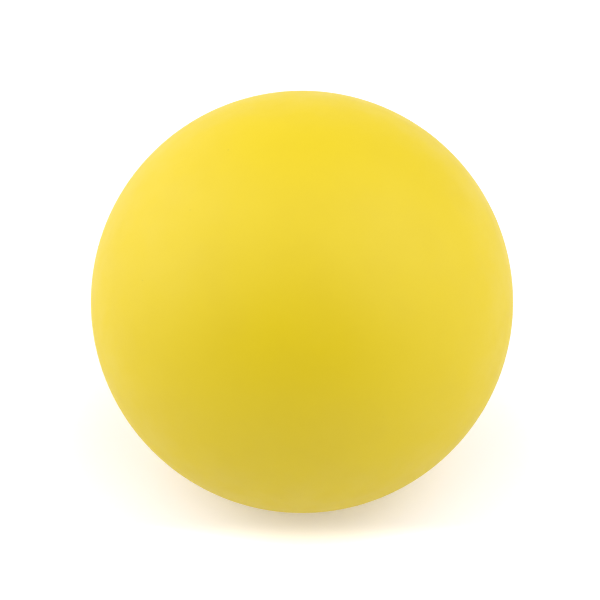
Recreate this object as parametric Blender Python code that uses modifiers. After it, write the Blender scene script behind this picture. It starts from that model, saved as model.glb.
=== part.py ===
"""Smooth inflated rubber playground ball, 216 mm (8.5 in) across, built in layers round its needle valve.

From the outside in: a vulcanised rubber cover, a nylon thread winding, a butyl bladder, and a rubber
valve housing whose flange lies against the inside of the bladder. A self-sealing valve core is pushed
into the housing from outside, and pulls out along the valve's axis.

Units are metres and +Z is up. The origin is the centre of the ball. The valve points along +Y, so every
piece is turned about the Y axis: the profiles below are drawn in a plane as (distance from the valve's
axis, distance along it from the centre), and the valve_axis empty turns them to face +Y.
"""

import math

import bpy

# Overall size
BALL_DIAMETER = 0.216
BALL_RADIUS = BALL_DIAMETER / 2

# Layers, from the outside in, with the gap that separates neighbouring pieces
COVER_THICKNESS = 0.0015
WINDING_THICKNESS = 0.0004
BLADDER_THICKNESS = 0.0008
GAP = 0.0003

# Valve, measured about its own axis
NECK_RADIUS = 0.0055
NECK_RECESS = 0.0002
PAD_RADIUS = 0.009
EDGE_CHAMFER = 0.0003
FLANGE_ANGLE = math.radians(10.0)
FLANGE_EDGE_THICKNESS = 0.0006
FLANGE_ROOT_THICKNESS = 0.0022
HOUSING_LENGTH = 0.0215
HOUSING_TIP_RADIUS = 0.0046
CORE_HEAD_RADIUS = 0.0034
CORE_HEAD_THICKNESS = 0.0012
CORE_SHANK_RADIUS = 0.0026
CORE_LENGTH = 0.0195
CORE_TIP_RADIUS = 0.0016
CORE_TIP_TAPER = 0.003
NEEDLE_FUNNEL_RADIUS = 0.0013
NEEDLE_FUNNEL_DEPTH = 0.0018
NEEDLE_BORE_RADIUS = 0.0006
NEEDLE_BORE_DEPTH = 0.0135

# Mesh resolution: one grid for all the layers, so that their facets lie parallel
SEGMENTS_AROUND = 48
RINGS_POLE_TO_POLE = 24
RING_STEP = math.pi / RINGS_POLE_TO_POLE
MERGE_DISTANCE = 0.00001

# Derived sizes
HOLE_RADIUS = NECK_RADIUS + GAP
COVER_INNER_RADIUS = BALL_RADIUS - COVER_THICKNESS
WINDING_OUTER_RADIUS = COVER_INNER_RADIUS - GAP
WINDING_INNER_RADIUS = WINDING_OUTER_RADIUS - WINDING_THICKNESS
BLADDER_OUTER_RADIUS = WINDING_INNER_RADIUS - GAP
BLADDER_INNER_RADIUS = BLADDER_OUTER_RADIUS - BLADDER_THICKNESS
FLANGE_OUTER_RADIUS = BLADDER_INNER_RADIUS - GAP
PAD_HEIGHT = math.sqrt(BALL_RADIUS**2 - PAD_RADIUS**2)
NECK_HEIGHT = PAD_HEIGHT - NECK_RECESS
COUNTERBORE_RADIUS = CORE_HEAD_RADIUS + GAP
COUNTERBORE_FLOOR = NECK_HEIGHT - CORE_HEAD_THICKNESS - GAP
BORE_RADIUS = CORE_SHANK_RADIUS + GAP

# Colour (red, green, blue) and roughness of each piece
FINISHES = {
    "cover": ((0.83, 0.66, 0.04), 0.5),
    "winding": ((0.78, 0.76, 0.70), 0.8),
    "bladder": ((0.03, 0.03, 0.035), 0.6),
    "valve_housing": ((0.025, 0.025, 0.028), 0.65),
    "valve_core": ((0.04, 0.04, 0.045), 0.55),
}

TURN_UP_AXIS_TO_VALVE = (math.radians(-90.0), 0.0, 0.0)


def clear_scene():
    """Remove every object, so that the model starts in an empty scene."""
    for existing in list(bpy.data.objects):
        bpy.data.objects.remove(existing, do_unlink=True)


def on_sphere(radius, angle):
    """Profile point on a sphere, at an angle from the valve's axis."""
    return radius * math.sin(angle), radius * math.cos(angle)


def at_radius(sphere_radius, distance):
    """Profile point on a sphere, at a distance from the valve's axis."""
    return distance, math.sqrt(sphere_radius**2 - distance**2)


def ring_angles():
    """Angles of the rings that all layers share, from beside the valve to the far pole."""
    even_rings = [RING_STEP * ring for ring in range(2, RINGS_POLE_TO_POLE)]
    return [RING_STEP, FLANGE_ANGLE] + even_rings


def pole(radius):
    """Profile point on the axis, opposite the valve."""
    return 0.0, -radius


def layer_profile(outer_radius, inner_radius, rim_points):
    """Profile of one layer: up its inside from the far pole, over the hole's rim, down its outside."""
    inside = [on_sphere(inner_radius, angle) for angle in reversed(ring_angles())]
    outside = [on_sphere(outer_radius, angle) for angle in ring_angles()]
    return [pole(inner_radius)] + inside + rim_points + outside + [pole(outer_radius)]


def cover_profile():
    """Cover, with the small flat pad that is moulded round its valve hole."""
    rim = [
        at_radius(COVER_INNER_RADIUS, HOLE_RADIUS),
        (HOLE_RADIUS, PAD_HEIGHT - EDGE_CHAMFER),
        (HOLE_RADIUS + EDGE_CHAMFER, PAD_HEIGHT),
        (PAD_RADIUS, PAD_HEIGHT),
    ]
    return layer_profile(BALL_RADIUS, COVER_INNER_RADIUS, rim)


def plain_layer_profile(outer_radius, inner_radius):
    """Winding or bladder: a layer with a plain round hole for the valve's neck."""
    rim = [at_radius(inner_radius, HOLE_RADIUS), at_radius(outer_radius, HOLE_RADIUS)]
    return layer_profile(outer_radius, inner_radius, rim)


def valve_housing_profile():
    """Housing: neck through the layers, flange under the bladder, tapered body, and a stepped bore."""
    root_height = at_radius(FLANGE_OUTER_RADIUS, NECK_RADIUS)[1] - FLANGE_ROOT_THICKNESS
    tip_height = FLANGE_OUTER_RADIUS - HOUSING_LENGTH
    return [
        (COUNTERBORE_RADIUS, NECK_HEIGHT),
        (NECK_RADIUS - EDGE_CHAMFER, NECK_HEIGHT),
        (NECK_RADIUS, NECK_HEIGHT - EDGE_CHAMFER),
        at_radius(FLANGE_OUTER_RADIUS, NECK_RADIUS),
        on_sphere(FLANGE_OUTER_RADIUS, RING_STEP),
        on_sphere(FLANGE_OUTER_RADIUS, FLANGE_ANGLE),
        on_sphere(FLANGE_OUTER_RADIUS - FLANGE_EDGE_THICKNESS, FLANGE_ANGLE),
        (NECK_RADIUS, root_height),
        (HOUSING_TIP_RADIUS, tip_height),
        (BORE_RADIUS, tip_height),
        (BORE_RADIUS, COUNTERBORE_FLOOR),
        (COUNTERBORE_RADIUS, COUNTERBORE_FLOOR),
    ]


def valve_core_profile():
    """Core: blind needle bore with a funnel mouth, round head, straight shank and tapered tip."""
    tip_height = NECK_HEIGHT - CORE_LENGTH
    return [
        (0.0, NECK_HEIGHT - NEEDLE_BORE_DEPTH),
        (NEEDLE_BORE_RADIUS, NECK_HEIGHT - NEEDLE_BORE_DEPTH + NEEDLE_BORE_RADIUS),
        (NEEDLE_BORE_RADIUS, NECK_HEIGHT - NEEDLE_FUNNEL_DEPTH),
        (NEEDLE_FUNNEL_RADIUS, NECK_HEIGHT),
        (CORE_HEAD_RADIUS - EDGE_CHAMFER, NECK_HEIGHT),
        (CORE_HEAD_RADIUS, NECK_HEIGHT - EDGE_CHAMFER),
        (CORE_HEAD_RADIUS, NECK_HEIGHT - CORE_HEAD_THICKNESS),
        (CORE_SHANK_RADIUS, NECK_HEIGHT - CORE_HEAD_THICKNESS),
        (CORE_SHANK_RADIUS, tip_height + CORE_TIP_TAPER),
        (CORE_TIP_RADIUS, tip_height),
        (0.0, tip_height),
    ]


def make_material(name):
    """Principled material in the piece's own colour and roughness."""
    colour, roughness = FINISHES[name]
    material = bpy.data.materials.new(name)
    material.use_nodes = True
    shader = material.node_tree.nodes["Principled BSDF"]
    shader.inputs["Base Color"].default_value = (*colour, 1.0)
    shader.inputs["Roughness"].default_value = roughness
    shader.inputs["Metallic"].default_value = 0.0
    return material


def make_turned_piece(name, profile, closed, collection, axis):
    """Turn a profile about the valve's axis. A closed profile is a loop round a through bore."""
    count = len(profile)
    edges = [(index, index + 1) for index in range(count - 1)]
    if closed:
        edges.append((count - 1, 0))
    mesh = bpy.data.meshes.new(name)
    mesh.from_pydata([(radius, 0.0, height) for radius, height in profile], edges, [])
    mesh.materials.append(make_material(name))
    piece = bpy.data.objects.new(name, mesh)
    piece.parent = axis
    collection.objects.link(piece)
    turn = piece.modifiers.new("turn", "SCREW")
    turn.axis = "Z"
    turn.angle = math.tau
    turn.steps = SEGMENTS_AROUND
    turn.render_steps = SEGMENTS_AROUND
    turn.use_merge_vertices = True
    turn.merge_threshold = MERGE_DISTANCE
    turn.use_smooth_shade = True
    return piece


def build():
    """Make the ball's five pieces, all turned about the valve's axis."""
    clear_scene()
    collection = bpy.data.collections.new("playground_ball")
    bpy.context.scene.collection.children.link(collection)
    axis = bpy.data.objects.new("valve_axis", None)
    axis.rotation_euler = TURN_UP_AXIS_TO_VALVE
    axis.empty_display_size = BALL_RADIUS
    collection.objects.link(axis)

    winding = plain_layer_profile(WINDING_OUTER_RADIUS, WINDING_INNER_RADIUS)
    bladder = plain_layer_profile(BLADDER_OUTER_RADIUS, BLADDER_INNER_RADIUS)
    make_turned_piece("cover", cover_profile(), False, collection, axis)
    make_turned_piece("winding", winding, False, collection, axis)
    make_turned_piece("bladder", bladder, False, collection, axis)
    make_turned_piece("valve_housing", valve_housing_profile(), True, collection, axis)
    make_turned_piece("valve_core", valve_core_profile(), False, collection, axis)


build()
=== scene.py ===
"""Looks of the smooth rubber playground ball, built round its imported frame.

Every piece is turned about the valve's axis, which is the frame's +Y axis through the ball's centre.
A profile is a list of (distance from that axis, place along it), in metres. Main sizes are read from the
boxes of the frame's nodes; what a box can't tell, such as a gap, a bore or a fine detail, is named here.
"""

import math

import bmesh
import bpy
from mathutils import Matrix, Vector


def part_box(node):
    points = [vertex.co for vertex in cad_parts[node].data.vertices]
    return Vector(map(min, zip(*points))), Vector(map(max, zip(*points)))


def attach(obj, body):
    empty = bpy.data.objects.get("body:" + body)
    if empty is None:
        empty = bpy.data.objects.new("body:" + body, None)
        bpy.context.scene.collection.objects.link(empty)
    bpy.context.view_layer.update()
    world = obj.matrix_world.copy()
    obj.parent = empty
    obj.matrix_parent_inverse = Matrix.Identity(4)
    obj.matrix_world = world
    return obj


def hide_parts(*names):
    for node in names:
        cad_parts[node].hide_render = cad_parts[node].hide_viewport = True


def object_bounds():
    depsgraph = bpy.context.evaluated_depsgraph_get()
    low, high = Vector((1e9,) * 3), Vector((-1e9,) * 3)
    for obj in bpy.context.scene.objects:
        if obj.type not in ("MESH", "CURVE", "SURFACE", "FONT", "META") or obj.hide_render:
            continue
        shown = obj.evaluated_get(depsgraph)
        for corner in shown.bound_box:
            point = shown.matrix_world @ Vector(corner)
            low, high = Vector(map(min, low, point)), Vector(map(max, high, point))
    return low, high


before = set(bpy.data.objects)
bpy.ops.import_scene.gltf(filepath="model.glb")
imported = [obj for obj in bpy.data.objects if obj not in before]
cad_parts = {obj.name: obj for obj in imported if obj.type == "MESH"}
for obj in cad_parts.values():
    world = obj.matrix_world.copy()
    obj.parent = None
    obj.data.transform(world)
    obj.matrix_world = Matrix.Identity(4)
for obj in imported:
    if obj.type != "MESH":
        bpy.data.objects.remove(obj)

MM = 0.001
CAD_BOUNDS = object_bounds()

# ---------------------------------------------------------------- sizes read from the frame


def widest_radius(node):
    """Radius of a turned node about the valve's axis."""
    low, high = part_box(node)
    return (high.x - low.x) / 2


def span_along_axis(node):
    """Lowest and highest place of a node along the valve's axis."""
    low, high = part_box(node)
    return low.y, high.y


BALL_RADIUS = widest_radius("cover")
PAD_HEIGHT = span_along_axis("cover")[1]
WINDING_RADIUS = widest_radius("winding")
BLADDER_RADIUS = widest_radius("bladder")
HOUSING_TIP, NECK_HEIGHT = span_along_axis("valve_housing")
FLANGE_RADIUS = widest_radius("valve_housing")
CORE_TIP = span_along_axis("valve_core")[0]
CORE_HEAD_RADIUS = widest_radius("valve_core")

# ---------------------------------------------------------------- sizes that the frame leaves out

GAP = 0.3 * MM
BLADDER_THICKNESS = 0.8 * MM
COVER_INNER_RADIUS = WINDING_RADIUS + GAP
WINDING_INNER_RADIUS = BLADDER_RADIUS + GAP
BLADDER_INNER_RADIUS = BLADDER_RADIUS - BLADDER_THICKNESS
FLANGE_SPHERE_RADIUS = BLADDER_INNER_RADIUS - GAP

HOLE_RADIUS = 5.8 * MM
NECK_RADIUS = 5.5 * MM
PAD_RADIUS = 9.0 * MM
CORE_HEAD_THICKNESS = 1.2 * MM
CORE_SHANK_RADIUS = 2.6 * MM
COUNTERBORE_RADIUS = CORE_HEAD_RADIUS + GAP
COUNTERBORE_FLOOR = NECK_HEIGHT - CORE_HEAD_THICKNESS - GAP
BORE_RADIUS = CORE_SHANK_RADIUS + GAP

# ---------------------------------------------------------------- camera, from the front and well above

LENS_MM = 85.0
SENSOR_MM = 36.0
CAMERA_ELEVATION = math.radians(46.0)
BALL_SHARE_OF_HALF_FRAME = 0.7045

# Shift of the picture, in frame widths
SHIFT_X = -0.0033
SHIFT_Y = 0.003


def make_camera():
    """Camera at the distance where the ball's outline fills its share of the frame."""
    half_frame = SENSOR_MM / 2 / LENS_MM
    outline_angle = math.atan(BALL_SHARE_OF_HALF_FRAME * half_frame)
    distance = BALL_RADIUS / math.sin(outline_angle)
    data = bpy.data.cameras.new("camera")
    data.lens = LENS_MM
    data.sensor_width = SENSOR_MM
    data.shift_x = SHIFT_X
    data.shift_y = SHIFT_Y
    camera = bpy.data.objects.new("camera", data)
    away = Vector((0.0, -math.cos(CAMERA_ELEVATION), math.sin(CAMERA_ELEVATION)))
    camera.location = away * distance
    camera.rotation_euler = (-away).to_track_quat("-Z", "Y").to_euler()
    bpy.context.scene.collection.objects.link(camera)
    bpy.context.scene.camera = camera


# ---------------------------------------------------------------- floor and light

FLOOR_HALF_SIZE = 30.0
FLOOR_ALBEDO = 0.9

# Albedo of the floor as the camera sees it: overexposed, with the yellow shade round the ball washed out a
# little. In front of the ball it also has painted light, which lifts the ball's shadow there: a gain that
# starts at one distance from the ball's middle and is full at another, both in ball radii.
FLOOR_AS_SEEN = (1.15, 1.15, 1.29)
PAINTED_LIGHT_GAIN = 1.5
PAINTED_LIGHT_FROM = 0.56
PAINTED_LIGHT_FULLY = 0.75

# Soft lights of a light tent: azimuth from the camera's side towards the right, elevation, angle at
# which the light has faded out, all in degrees, and strength
SOFTBOXES = {
    "right": (90, 42, 55, 1.95),
    "left": (270, 42, 55, 1.6),
    "overhead": (0, 90, 50, 0.65),
    "back": (180, 8, 40, 0.7),
    "back_left": (247, 8, 50, 1.4),
    "front_right": (67, 8, 50, 0.3),
}
BACKDROP_STRENGTH = 1.2

# Sockets of a Mix node that mixes colours. Its sockets for numbers have the same names and come first.
MIX_A = 6
MIX_B = 7
MIX_RESULT = 2


def floor_material():
    """White paper. Its overexposure is for the camera only, so the light off the floor stays natural. In
    front of the ball the camera also sees painted light, which lifts the ball's shadow there.
    """
    material = bpy.data.materials.new("floor_white")
    material.use_nodes = True
    nodes, links = material.node_tree.nodes, material.node_tree.links
    nodes.remove(nodes["Principled BSDF"])
    place = nodes.new("ShaderNodeSeparateXYZ")
    links.new(nodes.new("ShaderNodeNewGeometry").outputs["Position"], place.inputs["Vector"])
    # Painted light: the camera sees the floor brighter in front of the ball, by where it lies, which lifts
    # the ball's shadow there.
    painted_light = nodes.new("ShaderNodeMapRange")
    painted_light.interpolation_type = "SMOOTHSTEP"
    painted_light.inputs["From Min"].default_value = -PAINTED_LIGHT_FULLY * BALL_RADIUS
    painted_light.inputs["From Max"].default_value = -PAINTED_LIGHT_FROM * BALL_RADIUS
    painted_light.inputs["To Min"].default_value = PAINTED_LIGHT_GAIN
    painted_light.inputs["To Max"].default_value = 1.0
    links.new(place.outputs["Y"], painted_light.inputs["Value"])
    exposed = nodes.new("ShaderNodeVectorMath")
    exposed.operation = "SCALE"
    exposed.inputs[0].default_value = FLOOR_AS_SEEN
    links.new(painted_light.outputs["Result"], exposed.inputs["Scale"])
    seen = nodes.new("ShaderNodeMix")
    seen.data_type = "RGBA"
    seen.inputs[MIX_A].default_value = (FLOOR_ALBEDO, FLOOR_ALBEDO, FLOOR_ALBEDO, 1.0)
    links.new(exposed.outputs["Vector"], seen.inputs[MIX_B])
    links.new(nodes.new("ShaderNodeLightPath").outputs["Is Camera Ray"], seen.inputs["Factor"])
    paper = nodes.new("ShaderNodeBsdfDiffuse")
    links.new(seen.outputs[MIX_RESULT], paper.inputs["Color"])
    links.new(paper.outputs["BSDF"], nodes["Material Output"].inputs["Surface"])
    return material


def make_floor():
    """Floor that the ball stands on."""
    bottom = CAD_BOUNDS[0].z
    corners = [(-1, -1), (1, -1), (1, 1), (-1, 1)]
    vertices = [(x * FLOOR_HALF_SIZE, y * FLOOR_HALF_SIZE, bottom) for x, y in corners]
    mesh = bpy.data.meshes.new("floor")
    mesh.from_pydata(vertices, [], [(0, 1, 2, 3)])
    mesh.materials.append(floor_material())
    floor = bpy.data.objects.new("floor", mesh)
    bpy.context.scene.collection.objects.link(floor)


def direction_of(azimuth, elevation):
    """Unit vector towards a light."""
    azimuth, elevation = math.radians(azimuth), math.radians(elevation)
    level = math.cos(elevation)
    return Vector((math.sin(azimuth) * level, -math.cos(azimuth) * level, math.sin(elevation)))


def softbox(nodes, links, looking, azimuth, elevation, faded, strength):
    """Brightness of one soft light, in the direction that is looked in."""
    facing = nodes.new("ShaderNodeVectorMath")
    facing.operation = "DOT_PRODUCT"
    facing.inputs[1].default_value = direction_of(azimuth, elevation)
    links.new(looking, facing.inputs[0])
    fade = nodes.new("ShaderNodeMapRange")
    fade.interpolation_type = "SMOOTHSTEP"
    fade.inputs["From Min"].default_value = math.cos(math.radians(faded))
    fade.inputs["To Max"].default_value = strength
    links.new(facing.outputs["Value"], fade.inputs["Value"])
    return fade.outputs["Result"]


def make_world():
    """Light tent: soft lights all round, behind a backdrop that the camera sees as plain white."""
    world = bpy.data.worlds.new("tent")
    bpy.context.scene.world = world
    world.use_nodes = True
    nodes, links = world.node_tree.nodes, world.node_tree.links
    background = nodes["Background"]
    background.inputs["Color"].default_value = (1.0, 1.0, 1.0, 1.0)
    looking = nodes.new("ShaderNodeTexCoord").outputs["Generated"]
    total = None
    for settings in SOFTBOXES.values():
        light = softbox(nodes, links, looking, *settings)
        if total is None:
            total = light
            continue
        add = nodes.new("ShaderNodeMath")
        links.new(total, add.inputs[0])
        links.new(light, add.inputs[1])
        total = add.outputs["Value"]
    seen = nodes.new("ShaderNodeMix")
    seen.inputs["B"].default_value = BACKDROP_STRENGTH
    links.new(nodes.new("ShaderNodeLightPath").outputs["Is Camera Ray"], seen.inputs["Factor"])
    links.new(total, seen.inputs["A"])
    links.new(seen.outputs["Result"], background.inputs["Strength"])
    bpy.context.scene.view_settings.view_transform = "Standard"


# ---------------------------------------------------------------- turned shapes

LONGEST_ROUNDING = 0.45     # share of the way to the next corner
SHARP_ANGLE = math.radians(50)


def on_sphere(radius, angle):
    """Profile point on a sphere, at an angle from the valve's axis."""
    return radius * math.sin(angle), radius * math.cos(angle)


def at_distance(sphere_radius, distance):
    """Profile point on a sphere, at a distance from the valve's axis."""
    return distance, math.sqrt(sphere_radius**2 - distance**2)


def arc_on_sphere(radius, first, last, count, crowding=1.0):
    """Profile points along a sphere. Crowding above 1 packs them closer at the first angle."""
    shares = [(step / (count - 1)) ** crowding for step in range(count)]
    return [on_sphere(radius, first + (last - first) * share) for share in shares]


def rounded(corners, steps=4):
    """Profile through corners, each (distance, along, rounding radius). A radius of 0 adds no rounding."""
    profile = []
    neighbours = zip(corners[-1:] + corners[:-1], corners, corners[1:] + corners[:1])
    for before, corner, after in neighbours:
        here = Vector(corner[:2])
        if corner[2] == 0:
            profile.append(tuple(here))
            continue
        back, ahead = Vector(before[:2]) - here, Vector(after[:2]) - here
        half_turn = (math.pi - back.angle(ahead)) / 2
        longest = LONGEST_ROUNDING * min(back.length, ahead.length)
        reach = min(corner[2] * math.tan(half_turn), longest)
        start, end = here + back.normalized() * reach, here + ahead.normalized() * reach
        for step in range(steps + 1):
            share = step / steps
            point = start * (1 - share) ** 2 + here * 2 * share * (1 - share) + end * share**2
            profile.append(tuple(point))
    return profile


def on_disc(across, up):
    """Where a point of a square from -1 to 1 goes on a disc: share of its radius, and angle."""
    if across == 0 and up == 0:
        return 0.0, 0.0
    if abs(across) >= abs(up):
        return abs(across), math.pi / 4 * up / across + (0.0 if across > 0 else math.pi)
    return abs(up), math.pi / 2 - math.pi / 4 * across / up + (0.0 if up > 0 else math.pi)


def add_cap(vertices, faces, ring, cap):
    """Fill a ring round the axis with a square grid of faces. The cap says how far along each point is."""
    around = len(ring)
    cells = around // 4
    ring_distance = math.hypot(vertices[ring[0]][0], vertices[ring[0]][2])
    grid = {}
    for row in range(cells + 1):
        for column in range(cells + 1):
            share, angle = on_disc(2 * column / cells - 1, 2 * row / cells - 1)
            if row in (0, cells) or column in (0, cells):
                grid[row, column] = ring[round(angle / math.tau * around) % around]
                continue
            x, z = share * ring_distance * math.sin(angle), share * ring_distance * math.cos(angle)
            grid[row, column] = len(vertices)
            vertices.append((x, cap(x, z), z))
    for row in range(cells):
        for column in range(cells):
            corners = [(row, column), (row + 1, column), (row + 1, column + 1), (row, column + 1)]
            faces.append([grid[corner] for corner in corners])


def turned(name, profile, around, start_cap=None, end_cap=None):
    """Closed mesh of a profile turned about the valve's axis: capped at its ends, or else a loop."""
    vertices, faces, rings = [], [], []
    for distance, along in profile:
        rings.append(list(range(len(vertices), len(vertices) + around)))
        for step in range(around):
            angle = math.tau * step / around
            vertices.append((distance * math.sin(angle), along, distance * math.cos(angle)))
    pairs = list(zip(rings, rings[1:]))
    if start_cap is None:
        pairs.append((rings[-1], rings[0]))
    else:
        add_cap(vertices, faces, rings[0], start_cap)
        add_cap(vertices, faces, rings[-1], end_cap)
    for upper, lower in pairs:
        for step in range(around):
            after = (step + 1) % around
            faces.append([upper[step], lower[step], lower[after], upper[after]])
    mesh = bpy.data.meshes.new(name)
    mesh.from_pydata(vertices, [], faces)
    shape = bmesh.new()
    shape.from_mesh(mesh)
    bmesh.ops.recalc_face_normals(shape, faces=shape.faces)
    shape.to_mesh(mesh)
    shape.free()
    mesh.shade_smooth()
    mesh.set_sharp_from_angle(angle=SHARP_ANGLE)
    piece = bpy.data.objects.new(name, mesh)
    bpy.context.scene.collection.objects.link(piece)
    return piece


def far_cap(radius):
    """Cap of a sphere, on the side away from the valve."""
    return lambda x, z: -math.sqrt(radius**2 - x**2 - z**2)


def flat_cap(along):
    """Flat cap across the axis."""
    return lambda x, z: along


def finish_piece(piece, material, body, node=None):
    """Give a piece its material and its body, and hide the frame's node that it takes the place of."""
    piece.data.materials.append(material)
    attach(piece, body)
    if node:
        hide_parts(node)


# ---------------------------------------------------------------- materials

# Colours of the pieces and of what varies them (red, green, blue)
YELLOW = (0.78, 0.59, 0.008)
YELLOW_MOTTLE = (0.765, 0.575, 0.009)
YELLOW_GRAIN = (0.75, 0.56, 0.010)
BROWN_SPECK = (0.25, 0.16, 0.02)
NYLON = (0.74, 0.71, 0.62)
NYLON_FIBRE = (0.5, 0.47, 0.4)
CEMENT_TRACE = (0.52, 0.42, 0.25)
CEMENT = (0.46, 0.36, 0.2)
CEMENT_THICK = (0.32, 0.24, 0.13)
CEMENT_THIN = (0.6, 0.5, 0.32)
BURIED_THREAD = (0.7, 0.65, 0.52)
BUTYL = (0.022, 0.022, 0.024)
BUTYL_WORN = (0.07, 0.07, 0.07)
TALC = (0.5, 0.5, 0.48)
VALVE_BLACK = (0.02, 0.02, 0.022)
VALVE_GREY = (0.06, 0.058, 0.055)
VALVE_DUST = (0.16, 0.15, 0.13)
CORE_BLACK = (0.03, 0.03, 0.033)
CORE_GREY = (0.05, 0.049, 0.048)

# Turns of thread that were wound before the last ones, and show through the cement in broad bands
THREAD_BANDS = 10
BAND_THREAD_SPACING = 0.9 * MM
BAND_HALF_WIDTH = 30 * MM
BAND_FADES_FROM = 0.8       # share of its half width
GOLDEN_ANGLE = math.pi * (3 - math.sqrt(5))

SPECK_FADES_FROM = 0.6      # share of its radius


class Surface:
    """A Principled material with shorthands for the patterns that its sockets take."""

    def __init__(self, name, colour, roughness, specular=0.5):
        self.material = bpy.data.materials.new(name)
        self.material.use_nodes = True
        self.nodes = self.material.node_tree.nodes
        self.links = self.material.node_tree.links
        self.shader = self.nodes["Principled BSDF"]
        self.shader.inputs["Roughness"].default_value = roughness
        self.shader.inputs["Specular IOR Level"].default_value = specular
        self.place = self.nodes.new("ShaderNodeTexCoord").outputs["Object"]
        self.base = (*colour, 1.0)
        self.colour = None
        self.normal = None

    def noise(self, size, detail=2.0, roughness=0.5):
        """Soft random pattern from 0 to 1, with features of about this size."""
        node = self.nodes.new("ShaderNodeTexNoise")
        node.inputs["Scale"].default_value = 1.0 / size
        node.inputs["Detail"].default_value = detail
        node.inputs["Roughness"].default_value = roughness
        self.links.new(self.place, node.inputs["Vector"])
        return node.outputs["Fac"]

    def specks(self, spacing, radius):
        """Round dots of up to this radius and about this far apart: 1 in their middles, 0 outside them."""
        node = self.nodes.new("ShaderNodeTexVoronoi")
        node.inputs["Scale"].default_value = 1.0 / spacing
        self.links.new(self.place, node.inputs["Vector"])
        edge = radius / spacing
        return self.spread(node.outputs["Distance"], SPECK_FADES_FROM * edge, edge, 1.0, 0.0)

    def stripes(self, axis, spacing, half_width):
        """Stripes across an axis, 1 along their middles, within a band that straddles the centre."""
        along = self.nodes.new("ShaderNodeVectorMath")
        along.operation = "DOT_PRODUCT"
        along.inputs[1].default_value = axis
        self.links.new(self.place, along.inputs[0])
        phase = self.calculate("MULTIPLY", along.outputs["Value"], math.tau / spacing)
        wave = self.calculate("SINE", phase)
        distance = self.calculate("ABSOLUTE", along.outputs["Value"])
        band = self.spread(distance, BAND_FADES_FROM * half_width, half_width, 1.0, 0.0)
        return self.calculate("MULTIPLY", self.mask(wave, -0.2, 1.0), band)

    def calculate(self, operation, first, second=None):
        """One step of arithmetic on a pattern, with a number or another pattern."""
        node = self.nodes.new("ShaderNodeMath")
        node.operation = operation
        self.links.new(first, node.inputs[0])
        if isinstance(second, float):
            node.inputs[1].default_value = second
        elif second is not None:
            self.links.new(second, node.inputs[1])
        return node.outputs["Value"]

    def spread(self, value, low, high, to_low, to_high):
        """Pattern whose values from low to high are stretched to another range, smoothly, and clamped."""
        node = self.nodes.new("ShaderNodeMapRange")
        node.interpolation_type = "SMOOTHSTEP"
        node.inputs["From Min"].default_value = low
        node.inputs["From Max"].default_value = high
        node.inputs["To Min"].default_value = to_low
        node.inputs["To Max"].default_value = to_high
        self.links.new(value, node.inputs["Value"])
        return node.outputs["Result"]

    def mask(self, value, low, high, strength=1.0):
        """Pattern that is 0 where the value is low, and rises to this strength where it is high."""
        return self.spread(value, low, high, 0.0, strength)

    def tint(self, pattern, colour):
        """Mix another colour into the base where the pattern is high."""
        node = self.nodes.new("ShaderNodeMix")
        node.data_type = "RGBA"
        node.inputs[MIX_A].default_value = self.base
        node.inputs[MIX_B].default_value = (*colour, 1.0)
        self.links.new(pattern, node.inputs["Factor"])
        if self.colour is not None:
            self.links.new(self.colour, node.inputs[MIX_A])
        self.colour = node.outputs[MIX_RESULT]

    def bump(self, pattern, height):
        """Raise the surface by up to this height where the pattern is high."""
        node = self.nodes.new("ShaderNodeBump")
        node.inputs["Distance"].default_value = height
        self.links.new(pattern, node.inputs["Height"])
        if self.normal is not None:
            self.links.new(self.normal, node.inputs["Normal"])
        self.normal = node.outputs["Normal"]

    def roughness(self, pattern):
        """Let a pattern set the roughness."""
        self.links.new(pattern, self.shader.inputs["Roughness"])

    def done(self):
        """Connect the colour and the bumps, and give the material back."""
        self.links.new(self.colour, self.shader.inputs["Base Color"])
        if self.normal is not None:
            self.links.new(self.normal, self.shader.inputs["Normal"])
        return self.material


def cover_material():
    """Satin yellow rubber: even pigment, hardly visible mottling, a few tiny specks, fine matte grain."""
    rubber = Surface("cover_rubber", YELLOW, 0.5, specular=0.37)
    rubber.tint(rubber.mask(rubber.noise(28 * MM, 3.0), 0.35, 0.75), YELLOW_MOTTLE)
    rubber.tint(rubber.mask(rubber.noise(0.6 * MM), 0.45, 0.8, 0.5), YELLOW_GRAIN)
    rubber.tint(rubber.mask(rubber.specks(15 * MM, 0.3 * MM), 0.0, 1.0, 0.45), BROWN_SPECK)
    rubber.roughness(rubber.spread(rubber.noise(16 * MM, 4.0, 0.6), 0.3, 0.7, 0.46, 0.54))
    rubber.bump(rubber.noise(7 * MM, 1.0), 0.012 * MM)
    rubber.bump(rubber.noise(1.2 * MM), 0.005 * MM)
    rubber.bump(rubber.noise(0.35 * MM), 0.007 * MM)
    return rubber.done()


def thread_material():
    """Off-white nylon thread, with a fine fibre and traces of cement."""
    nylon = Surface("nylon_thread", NYLON, 0.55)
    nylon.shader.inputs["Sheen Weight"].default_value = 0.3
    nylon.shader.inputs["Sheen Roughness"].default_value = 0.4
    nylon.tint(nylon.mask(nylon.noise(9 * MM, 3.0), 0.5, 0.7, 0.7), CEMENT_TRACE)
    nylon.tint(nylon.mask(nylon.noise(0.15 * MM), 0.5, 0.8, 0.5), NYLON_FIBRE)
    nylon.roughness(nylon.spread(nylon.noise(2 * MM), 0.3, 0.7, 0.45, 0.7))
    nylon.bump(nylon.noise(0.08 * MM), 0.02 * MM)
    return nylon.done()


def buried_threads(cement):
    """Pattern of the bands of thread under the cement, each wound about an axis of its own."""
    threads = None
    for band in range(THREAD_BANDS):
        height = 1 - (2 * band + 1) / THREAD_BANDS
        level = math.sqrt(1 - height**2)
        azimuth = GOLDEN_ANGLE * band
        axis = (level * math.cos(azimuth), height, level * math.sin(azimuth))
        stripes = cement.stripes(axis, BAND_THREAD_SPACING, BAND_HALF_WIDTH)
        threads = stripes if threads is None else cement.calculate("MAXIMUM", threads, stripes)
    return threads


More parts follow.
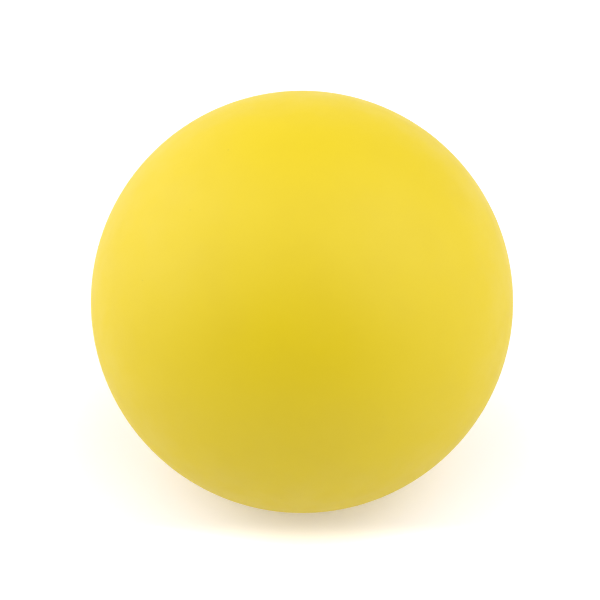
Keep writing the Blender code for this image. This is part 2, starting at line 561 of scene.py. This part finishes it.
def cement_material():
    """Dried rubber cement, tan and uneven, over the thread that was wound before the last turns."""
    cement = Surface("rubber_cement", CEMENT, 0.5)
    threads = buried_threads(cement)
    cement.tint(cement.mask(threads, 0.2, 0.9, 0.85), BURIED_THREAD)
    cement.tint(cement.mask(cement.noise(12 * MM, 4.0), 0.4, 0.7), CEMENT_THICK)
    cement.tint(cement.mask(cement.noise(1.5 * MM, 3.0), 0.55, 0.75, 0.6), CEMENT_THIN)
    cement.roughness(cement.spread(cement.noise(4 * MM, 3.0), 0.3, 0.7, 0.35, 0.7))
    cement.bump(threads, 0.1 * MM)
    cement.bump(cement.noise(2.5 * MM, 3.0), 0.05 * MM)
    cement.bump(cement.noise(0.4 * MM), 0.02 * MM)
    return cement.done()


def bladder_material():
    """Black butyl, with a bloom of talc that is also rougher."""
    butyl = Surface("bladder_butyl", BUTYL, 0.55)
    bloom = butyl.noise(14 * MM, 5.0, 0.65)
    butyl.tint(butyl.mask(bloom, 0.48, 0.72, 0.28), TALC)
    butyl.tint(butyl.mask(butyl.noise(0.8 * MM), 0.55, 0.8, 0.3), BUTYL_WORN)
    butyl.roughness(butyl.spread(bloom, 0.45, 0.7, 0.48, 0.85))
    butyl.bump(butyl.noise(5 * MM), 0.04 * MM)
    butyl.bump(butyl.noise(0.5 * MM), 0.01 * MM)
    return butyl.done()


def housing_material():
    """Soft black rubber of the valve body, slightly greyed, with a little dust."""
    rubber = Surface("valve_rubber", VALVE_BLACK, 0.6)
    rubber.tint(rubber.mask(rubber.noise(2.2 * MM, 4.0, 0.6), 0.45, 0.75, 0.5), VALVE_GREY)
    rubber.tint(rubber.specks(1.4 * MM, 0.07 * MM), VALVE_DUST)
    rubber.roughness(rubber.spread(rubber.noise(1.6 * MM, 3.0), 0.3, 0.7, 0.5, 0.72))
    rubber.bump(rubber.noise(0.9 * MM), 0.02 * MM)
    rubber.bump(rubber.noise(0.12 * MM), 0.006 * MM)
    return rubber.done()


def core_material():
    """Denser black rubber of the plug, with a trace of the glycerine that it is fitted with."""
    rubber = Surface("core_rubber", CORE_BLACK, 0.5)
    rubber.tint(rubber.mask(rubber.noise(1.5 * MM, 3.0), 0.45, 0.7, 0.6), CORE_GREY)
    rubber.roughness(rubber.spread(rubber.noise(2.5 * MM, 3.0), 0.35, 0.65, 0.3, 0.6))
    rubber.bump(rubber.noise(0.7 * MM), 0.012 * MM)
    rubber.bump(rubber.noise(0.1 * MM), 0.004 * MM)
    return rubber.done()


# ---------------------------------------------------------------- cover

# Faces round the axis, of the cover, of the layers under it and of the valve
AROUND_BALL = 192
AROUND_LAYER = 96
AROUND_VALVE = 96

# Rings of points from the valve to the far cap, which closes each layer from this angle onwards
RINGS_INSIDE = 46
RINGS_OUTSIDE = 92
RING_CROWDING = 1.3
FAR_CAP_ANGLE = math.radians(135)

HOLE_ROUNDING = 0.35 * MM
PAD_ROUNDING = 0.15 * MM
GROOVE_RADIUS = 7.5 * MM
GROOVE_HALF_WIDTH = 0.35 * MM
GROOVE_FLOOR_HALF_WIDTH = 0.21 * MM
GROOVE_DEPTH = 0.18 * MM
BAND_ROUNDING = 0.1 * MM


def round_band(middle, half_width, level_half_width, along, rise):
    """Corners of a round band raised from a flat face across the axis, or sunk where rise is negative."""
    offsets = (-half_width, -level_half_width, level_half_width, half_width)
    lifts = (0.0, rise, rise, 0.0)
    return [(middle + offset, along + lift, BAND_ROUNDING) for offset, lift in zip(offsets, lifts)]


def make_cover():
    """Yellow skin, with a flat pad round the valve hole and a moulded groove in the pad."""
    hole_angle = math.asin(HOLE_RADIUS / COVER_INNER_RADIUS)
    pad_angle = math.asin(PAD_RADIUS / BALL_RADIUS)
    inside = arc_on_sphere(COVER_INNER_RADIUS, hole_angle, FAR_CAP_ANGLE, RINGS_INSIDE, RING_CROWDING)
    outside = arc_on_sphere(BALL_RADIUS, pad_angle, FAR_CAP_ANGLE, RINGS_OUTSIDE, RING_CROWDING)
    groove = round_band(
        GROOVE_RADIUS, GROOVE_HALF_WIDTH, GROOVE_FLOOR_HALF_WIDTH, PAD_HEIGHT, -GROOVE_DEPTH
    )
    rim = rounded(
        [(*inside[1], 0), (*inside[0], PAD_ROUNDING), (HOLE_RADIUS, PAD_HEIGHT, HOLE_ROUNDING)]
        + groove
        + [(*outside[0], PAD_ROUNDING), (*outside[1], 0)]
    )
    profile = inside[:1:-1] + rim + outside[2:]
    cover = turned("ball_cover", profile, AROUND_BALL, far_cap(COVER_INNER_RADIUS), far_cap(BALL_RADIUS))
    finish_piece(cover, cover_material(), "ball", "cover")


# ---------------------------------------------------------------- winding

RINGS_A_LAYER = 46

THREAD_RADIUS = 0.13 * MM
THREAD_DEPTH = 1.15 * THREAD_RADIUS
CEMENT_DEPTH = 2.2 * THREAD_RADIUS
WELD_DISTANCE = 0.02 * THREAD_RADIUS
THREAD_TURNS = 72
POINTS_A_TURN = 96
LEAST_LEAN = 0.09
MOST_LEAN = 0.99
LEAN_SWINGS = 5
AZIMUTH_TURNS = 7


def layer(name, outer_radius, inner_radius, outside):
    """Thin shell with a plain round hole for the valve's neck. Its outside is a list of profile points."""
    hole_angle = math.asin(HOLE_RADIUS / inner_radius)
    inside = arc_on_sphere(inner_radius, hole_angle, FAR_CAP_ANGLE, RINGS_A_LAYER)
    return turned(name, inside[::-1] + outside, AROUND_LAYER, far_cap(inner_radius), far_cap(outer_radius))


def thread_point(share):
    """Point on the thread's path: great circles whose lean and direction keep drifting.

    The lean is the cosine of the angle from the circle's own axis to the valve's. It is never 0, so no
    turn goes over the valve.
    """
    swing = abs(2 * (share * LEAN_SWINGS % 1) - 1)
    lean = LEAST_LEAN + (MOST_LEAN - LEAST_LEAN) * swing
    level = math.sqrt(1 - lean**2)
    azimuth = math.tau * AZIMUTH_TURNS * share
    circle_axis = Vector((level * math.cos(azimuth), lean, level * math.sin(azimuth)))
    first = Vector((-math.sin(azimuth), 0.0, math.cos(azimuth)))
    second = circle_axis.cross(first)
    angle = math.tau * THREAD_TURNS * share
    return (first * math.cos(angle) + second * math.sin(angle)) * (WINDING_RADIUS - THREAD_DEPTH)


def thread_mesh():
    """Mesh of the whole thread: a round tube along its path, with closed ends."""
    count = THREAD_TURNS * POINTS_A_TURN
    path = bpy.data.curves.new("thread_path", "CURVE")
    path.dimensions = "3D"
    path.bevel_depth = THREAD_RADIUS
    path.bevel_resolution = 1
    path.use_fill_caps = True
    spline = path.splines.new("POLY")
    spline.points.add(count - 1)
    for index, point in enumerate(spline.points):
        point.co = (*thread_point(index / count), 1.0)
    guide = bpy.data.objects.new("thread_path", path)
    mesh = bpy.data.meshes.new_from_object(guide)
    bpy.data.objects.remove(guide)
    shape = bmesh.new()
    shape.from_mesh(mesh)
    bmesh.ops.remove_doubles(shape, verts=shape.verts, dist=WELD_DISTANCE)
    shape.to_mesh(mesh)
    shape.free()
    return mesh


def make_winding():
    """Coat of cement, and one nylon thread wound over it again and again."""
    cement_radius = WINDING_RADIUS - CEMENT_DEPTH
    hole_angle = math.asin(HOLE_RADIUS / cement_radius)
    outside = arc_on_sphere(cement_radius, hole_angle, FAR_CAP_ANGLE, RINGS_A_LAYER)
    cement = layer("winding_cement", cement_radius, WINDING_INNER_RADIUS, outside)
    finish_piece(cement, cement_material(), "ball", "winding")

    thread = bpy.data.objects.new("winding_thread", thread_mesh())
    bpy.context.scene.collection.objects.link(thread)
    finish_piece(thread, thread_material(), "ball")


# ---------------------------------------------------------------- bladder

SEAM_HEIGHT = 0.1 * MM
SEAM_HALF_ANGLE = math.radians(0.6)
SEAM_STEPS = 8
RINGS_BEFORE_SEAM = 30
RINGS_AFTER_SEAM = 17


def make_bladder():
    """Butyl bladder, with the low seam that its mould leaves half way round."""
    skin_radius = BLADDER_RADIUS - SEAM_HEIGHT
    hole_angle = math.asin(HOLE_RADIUS / skin_radius)
    seam_start = math.pi / 2 - SEAM_HALF_ANGLE
    seam_end = math.pi / 2 + SEAM_HALF_ANGLE
    before = arc_on_sphere(skin_radius, hole_angle, seam_start, RINGS_BEFORE_SEAM)
    after = arc_on_sphere(skin_radius, seam_end, FAR_CAP_ANGLE, RINGS_AFTER_SEAM)
    seam = []
    for step in range(1, SEAM_STEPS):
        angle = seam_start + (seam_end - seam_start) * step / SEAM_STEPS
        lift = SEAM_HEIGHT * math.sin(math.pi * step / SEAM_STEPS) ** 2
        seam.append(on_sphere(skin_radius + lift, angle))
    bladder = layer("air_bladder", skin_radius, BLADDER_INNER_RADIUS, before + seam + after)
    finish_piece(bladder, bladder_material(), "ball", "bladder")


# ---------------------------------------------------------------- valve

FLANGE_ANGLE = math.asin(FLANGE_RADIUS / FLANGE_SPHERE_RADIUS)
FLANGE_RINGS = 12
FLANGE_EDGE_THICKNESS = 0.6 * MM
FLANGE_ROOT_THICKNESS = 2.2 * MM
FILLET_OUT = 1.5 * MM
FILLET_UP = 0.5 * MM
FILLET_ROUNDING = 3.0 * MM
HOUSING_TIP_RADIUS = 4.6 * MM
GRIPPING_RIBS = 3
GRIPPING_RIB_HEIGHT = 0.2 * MM

# Half widths of a rib at its foot and at its top, as shares of the ribs' spacing
RIB_FOOT = 0.2
RIB_TOP = 0.1
RIB_ROUNDING = 0.15 * MM


def ribs(start, end, count, height):
    """Corners of low round ribs, evenly spaced along a straight stretch of a profile."""
    start, end = Vector(start), Vector(end)
    along = end - start
    outward = Vector((abs(along.y), 0.0)).normalized()
    corners = []
    for rib in range(count):
        middle = (rib + 0.5) / count
        for offset, lift in ((-RIB_FOOT, 0.0), (-RIB_TOP, height), (RIB_TOP, height), (RIB_FOOT, 0.0)):
            point = start + along * (middle + offset / count) + outward * lift
            corners.append((point.x, point.y, RIB_ROUNDING))
    return corners


def make_valve_housing():
    """Valve body: neck with a flat face, flange under the bladder, ribbed taper and stepped bore."""
    root_height = at_distance(FLANGE_SPHERE_RADIUS, NECK_RADIUS)[1]
    root_angle = math.asin(NECK_RADIUS / FLANGE_SPHERE_RADIUS)
    flange_top = arc_on_sphere(FLANGE_SPHERE_RADIUS, root_angle, FLANGE_ANGLE, FLANGE_RINGS)
    flange_edge = on_sphere(FLANGE_SPHERE_RADIUS - FLANGE_EDGE_THICKNESS, FLANGE_ANGLE)
    body_start = (NECK_RADIUS, root_height - FLANGE_ROOT_THICKNESS)
    body_end = (HOUSING_TIP_RADIUS, HOUSING_TIP)
    corners = [
        (COUNTERBORE_RADIUS, NECK_HEIGHT, 0.2 * MM),
        (NECK_RADIUS, NECK_HEIGHT, 0.4 * MM),
    ]
    corners += [(*point, 0) for point in flange_top[:-1]]
    corners += [
        (*flange_top[-1], 0.3 * MM),
        (*flange_edge, 0.3 * MM),
        (NECK_RADIUS + FILLET_OUT, body_start[1] + FILLET_UP, FILLET_ROUNDING),
        (*body_start, 1.0 * MM),
    ]
    corners += ribs(body_start, body_end, GRIPPING_RIBS, GRIPPING_RIB_HEIGHT)
    corners += [
        (*body_end, 0.8 * MM),
        (BORE_RADIUS, HOUSING_TIP, 0.3 * MM),
        (BORE_RADIUS, COUNTERBORE_FLOOR, 0.1 * MM),
        (COUNTERBORE_RADIUS, COUNTERBORE_FLOOR, 0.1 * MM),
    ]
    housing = turned("valve_body", rounded(corners), AROUND_VALVE)
    finish_piece(housing, housing_material(), "ball", "valve_housing")


CORE_TIP_RADIUS = 1.6 * MM
CORE_TIP_TAPER = 3.0 * MM
CORE_TIP_MARGIN = 0.3 * MM
FUNNEL_RADIUS = 1.3 * MM
FUNNEL_DEPTH = 1.8 * MM
FACE_RING_RADIUS = 2.05 * MM
FACE_RING_HALF_WIDTH = 0.3 * MM
FACE_RING_TOP_HALF_WIDTH = 0.15 * MM
FACE_RING_HEIGHT = 0.12 * MM
NEEDLE_BORE_RADIUS = 0.6 * MM
NEEDLE_BORE_DEPTH = 13.5 * MM
SEALING_RINGS = 3
SEALING_RING_HEIGHT = 0.15 * MM
HEAD_TO_SEALING_RINGS = 2.0 * MM
SLIT_HALF_WIDTH = 0.14 * MM
SLIT_HALF_LENGTH = 1.1 * MM
SLIT_DEPTH = 0.4 * MM


def slit_cap(x, z):
    """Flat tip of the core, with the narrow slit that the needle opens."""
    closed = max(0.0, 1 - abs(x) / SLIT_HALF_WIDTH)
    return CORE_TIP + (SLIT_DEPTH * closed if abs(z) < SLIT_HALF_LENGTH else 0.0)


def make_valve_core():
    """Plug: funnel and needle bore, raised ring round the funnel, head, ringed shank and slit tip."""
    shoulder = NECK_HEIGHT - CORE_HEAD_THICKNESS
    taper_start = CORE_TIP + CORE_TIP_TAPER
    bore_bottom = NECK_HEIGHT - NEEDLE_BORE_DEPTH
    rings_start = (CORE_SHANK_RADIUS, shoulder - HEAD_TO_SEALING_RINGS)
    rings_end = (CORE_SHANK_RADIUS, taper_start)
    corners = [
        (NEEDLE_BORE_RADIUS, bore_bottom, 0),
        (NEEDLE_BORE_RADIUS, NECK_HEIGHT - FUNNEL_DEPTH, 0.5 * MM),
        (FUNNEL_RADIUS, NECK_HEIGHT, 0.25 * MM),
    ]
    corners += round_band(
        FACE_RING_RADIUS, FACE_RING_HALF_WIDTH, FACE_RING_TOP_HALF_WIDTH, NECK_HEIGHT, FACE_RING_HEIGHT
    )
    corners += [
        (CORE_HEAD_RADIUS, NECK_HEIGHT, 0.3 * MM),
        (CORE_HEAD_RADIUS, shoulder, 0.2 * MM),
        (CORE_SHANK_RADIUS, shoulder, 0.15 * MM),
    ]
    corners += ribs(rings_start, rings_end, SEALING_RINGS, SEALING_RING_HEIGHT)
    corners += [
        (CORE_SHANK_RADIUS, taper_start, 1.5 * MM),
        (CORE_TIP_RADIUS, CORE_TIP, 0.15 * MM),
        (CORE_TIP_RADIUS - CORE_TIP_MARGIN, CORE_TIP, 0),
    ]
    core = turned("valve_plug", rounded(corners), AROUND_VALVE, flat_cap(bore_bottom), slit_cap)
    finish_piece(core, core_material(), "core", "valve_core")


make_camera()
make_floor()
make_world()
make_cover()
make_winding()
make_bladder()
make_valve_housing()
make_valve_core()
